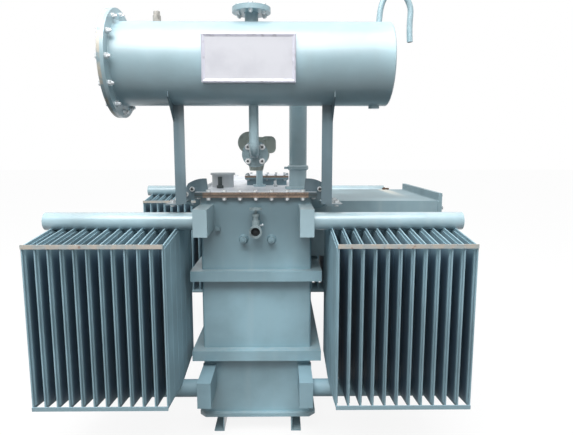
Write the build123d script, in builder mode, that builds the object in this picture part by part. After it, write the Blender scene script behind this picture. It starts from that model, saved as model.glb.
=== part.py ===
"""Oil-filled distribution transformer: tank on skids, four finned radiators, conservator and fittings.

Millimetres, +Z up. The origin is on the ground under the middle of the tank, and -Y is the narrow end
that carries the conservator.
"""

import os
from math import sqrt

from build123d import *

os.makedirs("parts", exist_ok=True)

# Tank, its base and its lid
tank_width = 476
tank_length = 1290
tank_height = 973
tank_wall = 6
tank_corner = 8
skid_height = 75
skid_flange = 45
skid_thickness = 6
skid_spacing = 302
skid_overrun = 10
skid_hole_diameter = 22
skid_hole_spacing = 900
base_plate_thickness = 16
base_plate_overhang = 22
base_plate_corner = 28
flange_thickness = 10
flange_overhang = 20
gasket_thickness = 3
lid_thickness = 10
pad_radius = 13
pad_depth = 25
pad_spacing = 120
pad_below_lid = 204
pad_x = 6

# Stiffening bands, bent from plate as channels with their toes on the wall
band_projection = 43
band_height = 45
band_thickness = 6
upper_band_above_base = 615
lower_band_above_base = 258

# Radiators
header_diameter = 72
header_wall = 4
header_centres = 715
header_below_lid = 108
header_setback = 119
header_end_past_fin = 33
fin_width = 520
fin_thickness = 13
fin_seam = 5
fin_seam_width = 12
fin_ramp = 5
fin_groove = 5
fin_groove_depth = 2.5
fin_channels = 6
fin_pitch = 45
fin_count = 12
fin_clear_of_tank = 74
fin_corner_from_header = 52
fin_apex_from_header = 26
fin_apex_half_width = 34
tie_bar_height = 15
tie_bar_thickness = 5
tie_bar_past_corner = 6
fin_end_seam = 12

# Header boxes at the tank's corners
box_width = 56
box_height = 110
box_depth = 190
box_wall = 5

# Conservator
drum_diameter = 310
drum_wall = 5
drum_left = 515
drum_right = 520
drum_end_thickness = 8
drum_end_chamfer = 4
drum_above_lid = 502
drum_ahead_of_tank = 130
drum_flange_diameter = 402
drum_flange_thickness = 12
drum_bolt_circle = 358
drum_bolt_hole = 14
drum_bolts = 12
plate_width = 334
plate_height = 170
plate_thickness = 3
plate_rim = 4
plate_stand_off = 6
plate_x = -6
filler_diameter = 51
filler_height = 35
filler_flange_diameter = 146
filler_flange_thickness = 8
filler_cover_thickness = 10
filler_x = -4
plug_x = -363
plug_diameter = 30
plug_height = 40
drain_x = 470
drain_diameter = 42
drain_height = 10
breather_diameter = 22
breather_mouth = 40
breather_wall = 2.5
breather_x = 478
breather_reach = 125
breather_rise = 82
breather_arch = 47
breather_drop = 152
breather_inner_lean = 19
breather_outer_lean = 13

# Conservator supports
post_outer_x = 309
post_leg = 42
post_thickness = 5
cradle_width = 222
cradle_neck = 60
shelf_thickness = 5
shelf_below_lid = 35
shelf_inner_x = 285
shelf_outer_x = 352
shelf_ahead_of_tank = 150
shelf_behind_face = 40
stay_thickness = 6
stay_behind_face = 26
stay_inner_x = 212
stay_slope = 6
stay_reach = 110
stay_rise = 56

# Lifting lugs on the side walls
lug_reach = 84
lug_height = 60
lug_thickness = 14
lug_hole_diameter = 24
lug_behind_face = 145
lug_below_lid = 56

# Gas relay line
line_diameter = 38
riser_diameter = 32
line_wall = 3.5
line_x = 1
line_bend = 48
line_above_lid = 160
line_flange_diameter = 108
line_flange_thickness = 12
relay_ahead_of_tank = 40
relay_length = 185
relay_bore = 25
relay_barrel_diameter = 62
relay_chamber_width = 84
relay_chamber_length = 112
relay_chamber_bottom = -32
relay_chamber_top = 60
relay_bowl_diameter = 74
relay_bowl_bottom = -71
relay_gauge_diameter = 92
relay_gauge_length = 70
relay_gauge_x = -29
relay_gauge_rise = 48
relay_terminal_width = 64
relay_terminal_height = 72
relay_terminal_x = 53
relay_terminal_rise = 39
relay_terminal_round = 22
relay_dome_height = 12
riser_behind_face = 332
riser_pad_diameter = 64
riser_pad_height = 10

# Pressure vent, hatch and thermometer pocket on the lid
vent_diameter = 80
vent_wall = 4
vent_x = 185
vent_behind_face = 180
vent_height = 680
vent_base_diameter = 118
vent_base_height = 10
vent_collar_diameter = 96
vent_collar_height = 22
vent_collar_edge = 5
vent_lug_reach = 63
vent_lug_height = 10
vent_collar_above_lid = 86
vent_cap_height = 12
hatch_width = 221
hatch_length = 215
hatch_wall = 6
hatch_flange = 8
hatch_lip = 10
hatch_height = 39
hatch_cover_thickness = 10
hatch_x = 34.5
hatch_behind_face = 400
turret_x = -175
turret_behind_face = 300
turret_diameter = 104
turret_height = 58
turret_cover_diameter = 118
turret_cover_thickness = 10
thermometer_x = -178
thermometer_behind_face = 208
thermometer_diameter = 20
thermometer_height = 54

# Cable box on the tank's right side
cable_box_behind_face = 180
cable_box_length = 680
cable_box_reach = 602
cable_box_height = 260
cable_box_wall = 4
cable_box_below_lid = 57
cable_frame_thickness = 10
cable_frame_rise = 35
cable_cover_thickness = 8

# Filter valve on the front wall
valve_below_lid = 161
valve_x = 1
valve_bore = 38
valve_ring_diameter = 54
wheel_diameter = 54
wheel_rim = 8
wheel_above_valve = 94

# Levels and faces that follow from those sizes
half_width = tank_width / 2
half_length = tank_length / 2
z_tank = skid_height + base_plate_thickness
z_flange = z_tank + tank_height
z_gasket = z_flange + flange_thickness
z_lid = z_gasket + gasket_thickness
z_lid_top = z_lid + lid_thickness
z_header_top = z_lid_top - header_below_lid
z_header_bottom = z_header_top - header_centres
header_radius = header_diameter / 2
header_y = half_length + header_setback
first_fin_x = half_width + fin_clear_of_tank
last_fin_x = first_fin_x + (fin_count - 1) * fin_pitch
header_end_x = last_fin_x + header_end_past_fin
drum_radius = drum_diameter / 2
drum_y = -half_length - drum_ahead_of_tank
drum_z = z_lid_top + drum_above_lid
z_drum_top = drum_z + drum_radius
z_shelf = z_lid_top - shelf_below_lid
z_line = z_lid_top + line_above_lid
sides = {"left": -1, "right": 1}
ends = {"front": -1, "rear": 1}


def save(piece, name):
    """Labels a finished piece and writes it as its own STEP file."""
    piece.label = name
    export_step(piece, f"parts/{name}.step")


def cut_drum():
    """Cuts the conservator's outside away, so the piece in hand seats on it."""
    with Locations(Location((0, drum_y, drum_z), (0, 90, 0))):
        Cylinder(drum_radius, 2 * drum_right, mode=Mode.SUBTRACT)


def outline_of_tank(grow=0):
    """The tank's outline in plan, grown by that much all round."""
    Rectangle(tank_width + 2 * grow, tank_length + 2 * grow)


# Skids: two channels, back to back under the tank, running its length
for side, sign in sides.items():
    web_x = sign * skid_spacing / 2
    toe_x = web_x + sign * skid_flange
    inner_x = web_x + sign * skid_thickness
    with BuildPart() as skid:
        with BuildSketch(Plane.XZ.offset(-half_length - skid_overrun)):
            with BuildLine():
                Polyline(
                    (web_x, 0),
                    (toe_x, 0),
                    (toe_x, skid_thickness),
                    (inner_x, skid_thickness),
                    (inner_x, skid_height - skid_thickness),
                    (toe_x, skid_height - skid_thickness),
                    (toe_x, skid_height),
                    (web_x, skid_height),
                    close=True,
                )
            make_face()
        extrude(amount=tank_length + 2 * skid_overrun)
        hole_x = web_x + sign * (skid_flange + skid_thickness) / 2
        with Locations((hole_x, 0, skid_thickness / 2)):
            with GridLocations(1, skid_hole_spacing, 1, 2):
                Cylinder(skid_hole_diameter / 2, 2 * skid_thickness, mode=Mode.SUBTRACT)
    save(skid.part, f"skid_{side}")

# Base plate with clipped corners
with BuildPart() as base_plate:
    with BuildSketch(Plane.XY.offset(skid_height)) as base_outline:
        outline_of_tank(base_plate_overhang)
        chamfer(base_outline.vertices(), base_plate_corner)
    extrude(amount=base_plate_thickness)
save(base_plate.part, "tank_base_plate")

# Tank walls, with two plugged bosses under the filter valve
with BuildPart() as tank:
    with BuildSketch(Plane.XY.offset(z_tank)):
        RectangleRounded(tank_width, tank_length, tank_corner)
        Rectangle(tank_width - 2 * tank_wall, tank_length - 2 * tank_wall, mode=Mode.SUBTRACT)
    extrude(amount=tank_height)
    with BuildSketch(Plane.XZ.offset(half_length)):
        with Locations((pad_x, z_lid_top - pad_below_lid)):
            with GridLocations(pad_spacing, 1, 2, 1):
                Circle(pad_radius)
    extrude(amount=pad_depth)
save(tank.part, "tank_walls")


def rim(name, level, thickness):
    """A flat ring that follows the tank's top edge."""
    with BuildPart() as ring:
        with BuildSketch(Plane.XY.offset(level)):
            outline_of_tank(flange_overhang)
            Rectangle(tank_width - 2 * tank_wall, tank_length - 2 * tank_wall, mode=Mode.SUBTRACT)
        extrude(amount=thickness)
    save(ring.part, name)


rim("tank_flange", z_flange, flange_thickness)
rim("lid_gasket", z_gasket, gasket_thickness)

with BuildPart() as lid:
    with BuildSketch(Plane.XY.offset(z_lid)):
        outline_of_tank(flange_overhang)
    extrude(amount=lid_thickness)
save(lid.part, "tank_lid")

# Stiffening bands
for name, above_base in (("upper", upper_band_above_base), ("lower", lower_band_above_base)):
    with BuildPart() as band:
        with BuildSketch(Plane.XY.offset(z_tank + above_base)):
            outline_of_tank(band_projection)
            RectangleRounded(tank_width, tank_length, tank_corner, mode=Mode.SUBTRACT)
        extrude(amount=band_height)
        with BuildSketch(Plane.XY.offset(z_tank + above_base + band_thickness)):
            outline_of_tank(band_projection - band_thickness)
        extrude(amount=band_height - 2 * band_thickness, mode=Mode.SUBTRACT)
    save(band.part, f"{name}_band")


def header(name, x_sign, y_sign, z_centre):
    """A square duct on the end wall with a closed header pipe welded to its outer side."""
    face_y = y_sign * half_length
    box_at = (x_sign * (half_width - box_width / 2), z_centre)
    inner = (box_width - 2 * box_wall, box_height - 2 * box_wall)
    with BuildPart() as duct:
        with BuildSketch(Plane.XZ.offset(-face_y)):
            with Locations(box_at):
                Rectangle(box_width, box_height)
        extrude(amount=-y_sign * box_depth)
        with BuildSketch(Plane.XZ.offset(-face_y)):
            with Locations(box_at):
                Rectangle(*inner)
        extrude(amount=-y_sign * (box_depth - box_wall), mode=Mode.SUBTRACT)
        with BuildSketch(Plane.YZ.offset(x_sign * half_width)):
            with Locations((y_sign * header_y, z_centre)):
                Circle(header_radius)
        extrude(amount=x_sign * (header_end_x - half_width))
        with BuildSketch(Plane.YZ.offset(x_sign * (half_width - 2 * box_wall))):
            with Locations((y_sign * header_y, z_centre)):
                Circle(header_radius - header_wall)
        extrude(amount=x_sign * (header_end_x - half_width + 2 * box_wall - header_wall), mode=Mode.SUBTRACT)
    save(duct.part, name)


# Half outline of one fin's section: seam, then pressed oil channels with a groove between neighbours
channel = (fin_width - 2 * fin_seam_width) / fin_channels
crown = fin_thickness / 2
half_section = [(-fin_width / 2, fin_seam / 2), (-fin_width / 2 + fin_seam_width, fin_seam / 2)]
half_section.append((-fin_width / 2 + fin_seam_width + fin_ramp, crown))
for number in range(1, fin_channels):
    groove_y = -fin_width / 2 + fin_seam_width + number * channel
    half_section.append((groove_y - fin_groove, crown))
    half_section.append((groove_y, crown - fin_groove_depth))
    half_section.append((groove_y + fin_groove, crown))
half_section.append((fin_width / 2 - fin_seam_width - fin_ramp, crown))
half_section.append((fin_width / 2 - fin_seam_width, fin_seam / 2))
half_section.append((fin_width / 2, fin_seam / 2))

with BuildSketch() as fin_section:
    with BuildLine():
        right_side = [(x, y) for y, x in half_section]
        left_side = [(-x, y) for y, x in reversed(half_section)]
        Polyline(*right_side, *left_side, close=True)
    make_face()


def fin_outline(inset):
    """One fin seen from the side: a plate whose ends rise to a point over the header pipes."""
    apex = header_centres / 2 - fin_apex_from_header - inset
    corner = header_centres / 2 - fin_corner_from_header - inset
    with BuildSketch(Plane.YZ) as outline:
        with BuildLine():
            Polyline(
                (-fin_width / 2, -corner),
                (-fin_apex_half_width, -apex),
                (fin_apex_half_width, -apex),
                (fin_width / 2, -corner),
                (fin_width / 2, corner),
                (fin_apex_half_width, apex),
                (-fin_apex_half_width, apex),
                (-fin_width / 2, corner),
                close=True,
            )
        make_face()
    return outline.sketch


# One fin: oil channels inside a flat welded seam that runs all round, notched for the header pipes
with BuildPart() as fin:
    with BuildSketch(Plane.XY.offset(-header_centres / 2)):
        add(fin_section.sketch)
    extrude(amount=header_centres)
    extrude(fin_outline(fin_end_seam), amount=fin_thickness, both=True, mode=Mode.INTERSECT)
    extrude(fin_outline(0), amount=fin_seam / 2, both=True)
    with Locations(
        Location((0, 0, header_centres / 2), (0, 90, 0)),
        Location((0, 0, -header_centres / 2), (0, 90, 0)),
    ):
        Cylinder(header_radius, 2 * fin_thickness, mode=Mode.SUBTRACT)


def fin_pack(name, x_sign, y_sign):
    """Twelve fluted fins that hang between two header pipes."""
    middle = (x_sign * (first_fin_x + last_fin_x) / 2, y_sign * header_y)
    with BuildPart() as pack:
        with Locations((*middle, (z_header_top + z_header_bottom) / 2)):
            with GridLocations(fin_pitch, 1, fin_count, 1):
                add(fin.part)
    save(pack.part, name)


def tie_bars(name, x_sign, y_sign):
    """Four flat bars welded across the outer edges of the fins."""
    corner = header_centres / 2 - fin_corner_from_header
    middle = (x_sign * (first_fin_x + last_fin_x) / 2, y_sign * header_y)
    bar_y = fin_width + tie_bar_thickness
    bar_z = 2 * corner + 2 * tie_bar_past_corner - tie_bar_height
    with BuildPart() as bars:
        with Locations(Location((*middle, (z_header_top + z_header_bottom) / 2))):
            with Locations(
                (0, -bar_y / 2, -bar_z / 2),
                (0, -bar_y / 2, bar_z / 2),
                (0, bar_y / 2, -bar_z / 2),
                (0, bar_y / 2, bar_z / 2),
            ):
                Box(last_fin_x - first_fin_x + fin_seam, tie_bar_thickness, tie_bar_height)
    save(bars.part, name)


for end, y_sign in ends.items():
    for side, x_sign in sides.items():
        header(f"upper_header_{end}_{side}", x_sign, y_sign, z_header_top)
        header(f"lower_header_{end}_{side}", x_sign, y_sign, z_header_bottom)
        fin_pack(f"radiator_fins_{end}_{side}", x_sign, y_sign)
        tie_bars(f"radiator_ties_{end}_{side}", x_sign, y_sign)

# Conservator shell with its drain boss and air plug boss
with BuildPart() as shell:
    with BuildSketch(Plane.YZ.offset(-drum_left)):
        with Locations((drum_y, drum_z)):
            Circle(drum_radius)
    extrude(amount=drum_left + drum_right - drum_end_thickness)
    with BuildSketch(Plane.XY.offset(drum_z)):
        with Locations((drain_x, drum_y)):
            Circle(drain_diameter / 2)
    extrude(amount=-drum_radius - drain_height)
    with BuildSketch(Plane.YZ.offset(-drum_left)):
        with Locations((drum_y, drum_z)):
            Circle(drum_radius - drum_wall)
    extrude(amount=2 * drum_left, mode=Mode.SUBTRACT)
save(shell.part, "conservator_shell")

# Plain end with a bevelled edge
with BuildPart() as plain_end:
    with BuildSketch(Plane.YZ.offset(drum_right - drum_end_thickness)):
        with Locations((drum_y, drum_z)):
            Circle(drum_radius)
    extrude(amount=drum_end_thickness)
    chamfer(plain_end.faces().sort_by(Axis.X)[-1].edges(), drum_end_chamfer)
save(plain_end.part, "conservator_end")

# Bolted end: a loose ring on the shell and its cover
with BuildPart() as drum_flange:
    with BuildSketch(Plane.YZ.offset(-drum_left)):
        with Locations((drum_y, drum_z)):
            Circle(drum_flange_diameter / 2)
            Circle(drum_radius, mode=Mode.SUBTRACT)
            with PolarLocations(drum_bolt_circle / 2, drum_bolts):
                Circle(drum_bolt_hole / 2, mode=Mode.SUBTRACT)
    extrude(amount=drum_flange_thickness)
save(drum_flange.part, "conservator_flange")

with BuildPart() as drum_cover:
    with BuildSketch(Plane.YZ.offset(-drum_left)):
        with Locations((drum_y, drum_z)):
            Circle(drum_flange_diameter / 2)
            with PolarLocations(drum_bolt_circle / 2, drum_bolts):
                Circle(drum_bolt_hole / 2, mode=Mode.SUBTRACT)
    extrude(amount=-drum_flange_thickness)
save(drum_cover.part, "conservator_cover")

# Blank nameplate on a rim that closes the gap to the round shell
with BuildPart() as nameplate:
    plate_front = -drum_y + drum_radius + plate_stand_off + plate_thickness
    with BuildSketch(Plane.XZ.offset(plate_front)):
        with Locations((plate_x, drum_z - 4)):
            RectangleRounded(plate_width, plate_height, plate_rim)
    extrude(amount=-plate_height / 2)
    with BuildSketch(Plane.XZ.offset(plate_front - plate_thickness)):
        with Locations((plate_x, drum_z - 4)):
            Rectangle(plate_width - 2 * plate_rim, plate_height - 2 * plate_rim)
    extrude(amount=-plate_height, mode=Mode.SUBTRACT)
    cut_drum()
save(nameplate.part, "nameplate")

# Filler neck and its cover
with BuildPart() as filler:
    with BuildSketch(Plane.XY.offset(drum_z)):
        with Locations((filler_x, drum_y)):
            Circle(filler_diameter / 2)
    extrude(amount=drum_radius + filler_height)
    cut_drum()
    with BuildSketch(Plane.XY.offset(z_drum_top + filler_height)):
        with Locations((filler_x, drum_y)):
            Circle(filler_flange_diameter / 2)
    extrude(amount=filler_flange_thickness)
    with Locations((filler_x, drum_y, z_drum_top)):
        Cylinder(filler_diameter / 2 - line_wall, 4 * filler_height, mode=Mode.SUBTRACT)
save(filler.part, "filler_neck")

with BuildPart() as filler_cover:
    with BuildSketch(Plane.XY.offset(z_drum_top + filler_height + filler_flange_thickness)):
        with Locations((filler_x, drum_y)):
            Circle(filler_flange_diameter / 2)
    extrude(amount=filler_cover_thickness)
save(filler_cover.part, "filler_cover")

# Air plug: a socket with a hexagon head
with BuildPart() as air_plug:
    with BuildSketch(Plane.XY.offset(drum_z)):
        with Locations((plug_x, drum_y)):
            Circle(plug_diameter / 2)
    extrude(amount=drum_radius + plug_height * 0.6)
    cut_drum()
    with BuildSketch(Plane.XY.offset(z_drum_top + plug_height * 0.6)):
        with Locations((plug_x, drum_y)):
            RegularPolygon(plug_diameter * 0.42, 6)
    extrude(amount=plug_height * 0.4)
save(air_plug.part, "air_plug")

# Breather: a gooseneck with splayed legs that turns down past the plain end
with BuildPart() as breather:
    bend_z = z_drum_top + breather_rise
    inner_x = breather_x + breather_inner_lean
    outer_x = breather_x + breather_reach - breather_outer_lean
    with BuildLine() as breather_path:
        Spline(
            (breather_x, drum_y, z_drum_top - breather_diameter),
            (inner_x, drum_y, bend_z),
            ((inner_x + outer_x) / 2, drum_y, bend_z + breather_arch),
            (outer_x, drum_y, bend_z),
            (breather_x + breather_reach, drum_y, bend_z - breather_drop),
            tangents=((breather_inner_lean / breather_rise, 0, 1), (breather_outer_lean / breather_drop, 0, -1)),
        )
    with BuildSketch(Plane(origin=breather_path.line @ 0, z_dir=breather_path.line % 0)):
        Circle(breather_diameter / 2)
    sweep(path=breather_path.line)
    with BuildSketch(Plane(origin=breather_path.line @ 1, z_dir=-(breather_path.line % 1))):
        Circle(breather_diameter / 2 - breather_wall)
    extrude(amount=breather_mouth, mode=Mode.SUBTRACT)
    cut_drum()
save(breather.part, "breather_pipe")


def support(name, sign):
    """Angle post with a cradle for the shell, on a shelf stayed to the tank's lid."""
    outer = sign * post_outer_x
    cradle_drop = sqrt(drum_radius**2 - (cradle_width / 2) ** 2)
    z_cradle = drum_z - cradle_drop - 4
    post_half = post_leg / 2
    with BuildPart() as frame:
        with BuildSketch(Plane.XY.offset(z_shelf)):
            with Locations((outer - sign * post_half, drum_y)):
                Rectangle(post_leg, post_leg)
            with Locations((outer - sign * (post_half + post_thickness), drum_y + post_thickness)):
                Rectangle(post_leg, post_leg, mode=Mode.SUBTRACT)
        extrude(amount=drum_z - z_shelf)
        with BuildSketch(Plane(origin=(outer, drum_y, 0), x_dir=(0, 1, 0), z_dir=(1, 0, 0))):
            with BuildLine():
                Polyline(
                    (-post_half, drum_z - drum_radius - cradle_neck),
                    (post_half, drum_z - drum_radius - cradle_neck),
                    (cradle_width / 2, z_cradle - cradle_neck / 3),
                    (cradle_width / 2, z_cradle),
                    (-cradle_width / 2, z_cradle),
                    (-cradle_width / 2, z_cradle - cradle_neck / 3),
                    close=True,
                )
            make_face()
        extrude(amount=-sign * post_thickness)
        cut_drum()
        with BuildSketch(Plane.XY.offset(z_shelf)):
            shelf_centre = (
                sign * (shelf_inner_x + shelf_outer_x) / 2,
                -half_length - (shelf_ahead_of_tank - shelf_behind_face) / 2,
            )
            with Locations(shelf_centre):
                Rectangle(shelf_outer_x - shelf_inner_x, shelf_ahead_of_tank + shelf_behind_face)
        extrude(amount=-shelf_thickness)
        lid_edge = half_width + flange_overhang + 2
        with BuildSketch(Plane.XZ.offset(half_length - stay_behind_face)):
            with BuildLine():
                Line((sign * (stay_inner_x - stay_slope), z_lid_top), (sign * stay_inner_x, z_lid_top + stay_rise))
                ThreePointArc(
                    (sign * stay_inner_x, z_lid_top + stay_rise),
                    (sign * (stay_inner_x + 45), z_lid_top + stay_rise - 5),
                    (sign * (stay_inner_x + 80), z_lid_top + stay_rise - 22),
                )
                Polyline(
                    (sign * (stay_inner_x + 80), z_lid_top + stay_rise - 22),
                    (sign * (stay_inner_x + stay_reach), z_shelf),
                    (sign * lid_edge, z_shelf),
                    (sign * lid_edge, z_lid_top),
                    (sign * (stay_inner_x - stay_slope), z_lid_top),
                )
            make_face()
        extrude(amount=stay_thickness)
    save(frame.part, name)


def lifting_lugs(name, sign):
    """Two plates with shackle holes that stand out from one side wall."""
    with BuildPart() as lugs:
        for y_sign in ends.values():
            plate_y = y_sign * (half_length - lug_behind_face)
            root = (sign * half_width, plate_y - lug_thickness / 2, z_lid_top - lug_below_lid)
            with BuildSketch(Plane(origin=root, x_dir=(1, 0, 0), z_dir=(0, 1, 0))):
                with BuildLine():
                    Polyline(
                        (0, lug_height / 2),
                        (sign * lug_reach * 0.55, lug_height / 2),
                        (sign * lug_reach, lug_height * 0.15),
                        (sign * lug_reach, -lug_height * 0.3),
                        (sign * lug_reach * 0.75, -lug_height / 2),
                        (0, -lug_height / 2),
                        close=True,
                    )
                make_face()
                with Locations((sign * lug_reach * 0.66, 0)):
                    Circle(lug_hole_diameter / 2, mode=Mode.SUBTRACT)
            extrude(amount=lug_thickness)
    save(lugs.part, name)


for side, x_sign in sides.items():
    support(f"conservator_support_{side}", x_sign)
    lifting_lugs(f"lifting_lugs_{side}", x_sign)

# Pipe from the conservator down to the gas relay
relay_front = half_length + relay_ahead_of_tank
with BuildPart() as line:
    with BuildLine() as line_path:
        FilletPolyline(
            (line_x, drum_y, drum_z - drum_radius * 0.95),
            (line_x, drum_y, z_line),
            (line_x, -relay_front, z_line),
            radius=line_bend,
        )
    with BuildSketch(Plane(origin=line_path.line @ 0, z_dir=line_path.line % 0)):
        Circle(line_diameter / 2)
    sweep(path=line_path.line)
    with BuildSketch(Plane.XZ.offset(relay_front)):
        with Locations((line_x, z_line)):
            Circle(line_flange_diameter / 2)
    extrude(amount=line_flange_thickness)
    with BuildSketch(Plane(origin=line_path.line @ 0, z_dir=line_path.line % 0)):
        Circle(line_diameter / 2 - line_wall)
    sweep(path=line_path.line, mode=Mode.SUBTRACT)
    cut_drum()
save(line.part, "relay_pipe")

# Gas relay: flanged barrel, chamber with a bowl below, round gauge on the left, terminal box on the right
with BuildPart() as relay:
    relay_middle = -relay_front + relay_length / 2
    with BuildSketch(Plane.XZ.offset(relay_front)):
        with Locations((line_x, z_line)):
            Circle(relay_barrel_diameter / 2)
    extrude(amount=-relay_length)
    for flange_y in (relay_front, relay_front - relay_length + line_flange_thickness):
        with BuildSketch(Plane.XZ.offset(flange_y)):
            with Locations((line_x, z_line)):
                Circle(line_flange_diameter / 2)
        extrude(amount=-line_flange_thickness)
    with BuildSketch(Plane.XY.offset(z_line + relay_chamber_bottom)):
        with Locations((line_x, relay_middle)):
            RectangleRounded(relay_chamber_width, relay_chamber_length, relay_terminal_round)
    extrude(amount=relay_chamber_top - relay_chamber_bottom)
    with BuildSketch(Plane.XY.offset(z_line + relay_chamber_top)):
        with Locations((line_x, relay_middle)):
            Circle(relay_bowl_diameter / 2)
    extrude(amount=relay_dome_height, taper=20)
    with BuildSketch(Plane.XY.offset(z_line + relay_chamber_bottom)):
        with Locations((line_x, relay_middle)):
            Circle(relay_bowl_diameter / 2)
    extrude(amount=relay_bowl_bottom - relay_chamber_bottom, taper=12)
    with BuildSketch(Plane.XZ.offset(-relay_middle + relay_gauge_length / 2)):
        with Locations((relay_gauge_x, z_line + relay_gauge_rise)):
            Circle(relay_gauge_diameter / 2)
    extrude(amount=-relay_gauge_length)
    with BuildSketch(Plane.XZ.offset(-relay_middle + relay_terminal_height / 2)):
        with Locations((relay_terminal_x, z_line + relay_terminal_rise)):
            RectangleRounded(relay_terminal_width, relay_terminal_height, relay_terminal_round)
    extrude(amount=-relay_terminal_height)
    with Locations(Location((line_x, -relay_front, z_line), (90, 0, 0))):
        Cylinder(relay_bore / 2, 3 * relay_length, mode=Mode.SUBTRACT)
save(relay.part, "gas_relay")

# Riser from the lid to the back of the relay
relay_back = relay_front - relay_length
riser_y = -half_length + riser_behind_face
with BuildPart() as riser:
    with BuildLine() as riser_path:
        FilletPolyline(
            (line_x, -relay_back, z_line),
            (line_x, riser_y, z_line),
            (line_x, riser_y, z_lid_top),
            radius=line_bend,
        )
    with BuildSketch(Plane(origin=riser_path.line @ 0, z_dir=riser_path.line % 0)):
        Circle(riser_diameter / 2)
    sweep(path=riser_path.line)
    with BuildSketch(Plane.XZ.offset(relay_back)):
        with Locations((line_x, z_line)):
            Circle(line_flange_diameter / 2)
    extrude(amount=-line_flange_thickness)
    with BuildSketch(Plane.XY.offset(z_lid_top)):
        with Locations((line_x, riser_y)):
            Circle(riser_pad_diameter / 2)
    extrude(amount=riser_pad_height)
    with BuildSketch(Plane(origin=riser_path.line @ 0, z_dir=riser_path.line % 0)):
        Circle(riser_diameter / 2 - line_wall)
    sweep(path=riser_path.line, mode=Mode.SUBTRACT)
save(riser.part, "riser_pipe")

# Pressure vent and the cap on its top
vent_y = -half_length + vent_behind_face
with BuildPart() as vent:
    with BuildSketch(Plane.XY.offset(z_lid_top)):
        with Locations((vent_x, vent_y)):
            Circle(vent_diameter / 2)
    extrude(amount=vent_height)
    for level, diameter, height in (
        (z_lid_top, vent_base_diameter, vent_base_height),
        (z_lid_top + vent_collar_above_lid, vent_collar_diameter, vent_collar_height),
        (z_lid_top + vent_height - vent_base_height, vent_base_diameter, vent_base_height),
    ):
        with BuildSketch(Plane.XY.offset(level)):
            with Locations((vent_x, vent_y)):
                Circle(diameter / 2)
        extrude(amount=height)
    collar_rims = vent.edges().filter_by(GeomType.CIRCLE).filter_by(
        lambda rim: abs(rim.radius - vent_collar_diameter / 2) < 0.01
    )
    chamfer(collar_rims, vent_collar_edge)
    with BuildSketch(Plane.XY.offset(z_lid_top + vent_collar_above_lid + vent_lug_height / 2)):
        with Locations((vent_x - vent_lug_reach / 2, vent_y)):
            Rectangle(vent_lug_reach, vent_collar_height)
    extrude(amount=vent_lug_height)
    with Locations((vent_x, vent_y, z_lid_top + vent_height / 2)):
        Cylinder(vent_diameter / 2 - vent_wall, 2 * vent_height, mode=Mode.SUBTRACT)
save(vent.part, "vent_pipe")

with BuildPart() as vent_cap:
    with BuildSketch(Plane.XY.offset(z_lid_top + vent_height)):
        with Locations((vent_x, vent_y)):
            Circle(vent_base_diameter / 2)
    extrude(amount=vent_cap_height)
save(vent_cap.part, "vent_cap")

# Inspection hatch: a flanged coaming on the lid and its cover
hatch_y = -half_length + hatch_behind_face + hatch_length / 2
with BuildPart() as coaming:
    with BuildSketch(Plane.XY.offset(z_lid_top)):
        with Locations((hatch_x, hatch_y)):
            Rectangle(hatch_width - 2 * hatch_lip, hatch_length - 2 * hatch_lip)
    extrude(amount=hatch_height)
    with BuildSketch(Plane.XY.offset(z_lid_top + hatch_height - hatch_flange)):
        with Locations((hatch_x, hatch_y)):
            Rectangle(hatch_width, hatch_length)
    extrude(amount=hatch_flange)
    inside = 2 * (hatch_lip + hatch_wall)
    with BuildSketch(Plane.XY.offset(z_lid_top)):
        with Locations((hatch_x, hatch_y)):
            Rectangle(hatch_width - inside, hatch_length - inside)
    extrude(amount=hatch_height, mode=Mode.SUBTRACT)
save(coaming.part, "hatch_coaming")

with BuildPart() as hatch_cover:
    with BuildSketch(Plane.XY.offset(z_lid_top + hatch_height)):
        with Locations((hatch_x, hatch_y)):
            Rectangle(hatch_width, hatch_length)
    extrude(amount=hatch_cover_thickness)
save(hatch_cover.part, "hatch_cover")

# Round turret behind the thermometer pocket, with its flat cover
turret_at = (turret_x, -half_length + turret_behind_face)
with BuildPart() as turret:
    with BuildSketch(Plane.XY.offset(z_lid_top)):
        with Locations(turret_at):
            Circle(turret_diameter / 2)
    extrude(amount=turret_height)
    with BuildSketch(Plane.XY.offset(z_lid_top)):
        with Locations(turret_at):
            Circle(turret_diameter / 2 - vent_wall)
    extrude(amount=turret_height, mode=Mode.SUBTRACT)
save(turret.part, "tap_turret")

with BuildPart() as turret_cover:
    with BuildSketch(Plane.XY.offset(z_lid_top + turret_height)):
        with Locations(turret_at):
            Circle(turret_cover_diameter / 2)
    extrude(amount=turret_cover_thickness)
save(turret_cover.part, "tap_turret_cover")

# Thermometer pocket with a hexagon foot
thermometer_at = (thermometer_x, -half_length + thermometer_behind_face)
with BuildPart() as thermometer:
    with BuildSketch(Plane.XY.offset(z_lid_top)):
        with Locations(thermometer_at):
            RegularPolygon(thermometer_diameter * 0.8, 6)
    extrude(amount=thermometer_height / 4)
    with BuildSketch(Plane.XY.offset(z_lid_top)):
        with Locations(thermometer_at):
            Circle(thermometer_diameter / 2)
    extrude(amount=thermometer_height)
save(thermometer.part, "thermometer_pocket")

# Cable box: a duct out of the tank's right wall
box_y = -half_length + cable_box_behind_face + cable_box_length / 2
z_cable_top = z_lid_top - cable_box_below_lid
box_z = z_cable_top - cable_box_height / 2
duct_size = (cable_box_length, cable_box_height)
duct_inside = (cable_box_length - 2 * cable_box_wall, cable_box_height - 2 * cable_box_wall)
with BuildPart() as cable_box:
    with BuildSketch(Plane.YZ.offset(half_width)):
        with Locations((box_y, box_z)):
            Rectangle(*duct_size)
            Rectangle(*duct_inside, mode=Mode.SUBTRACT)
    extrude(amount=cable_box_reach)
save(cable_box.part, "cable_box")

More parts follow.
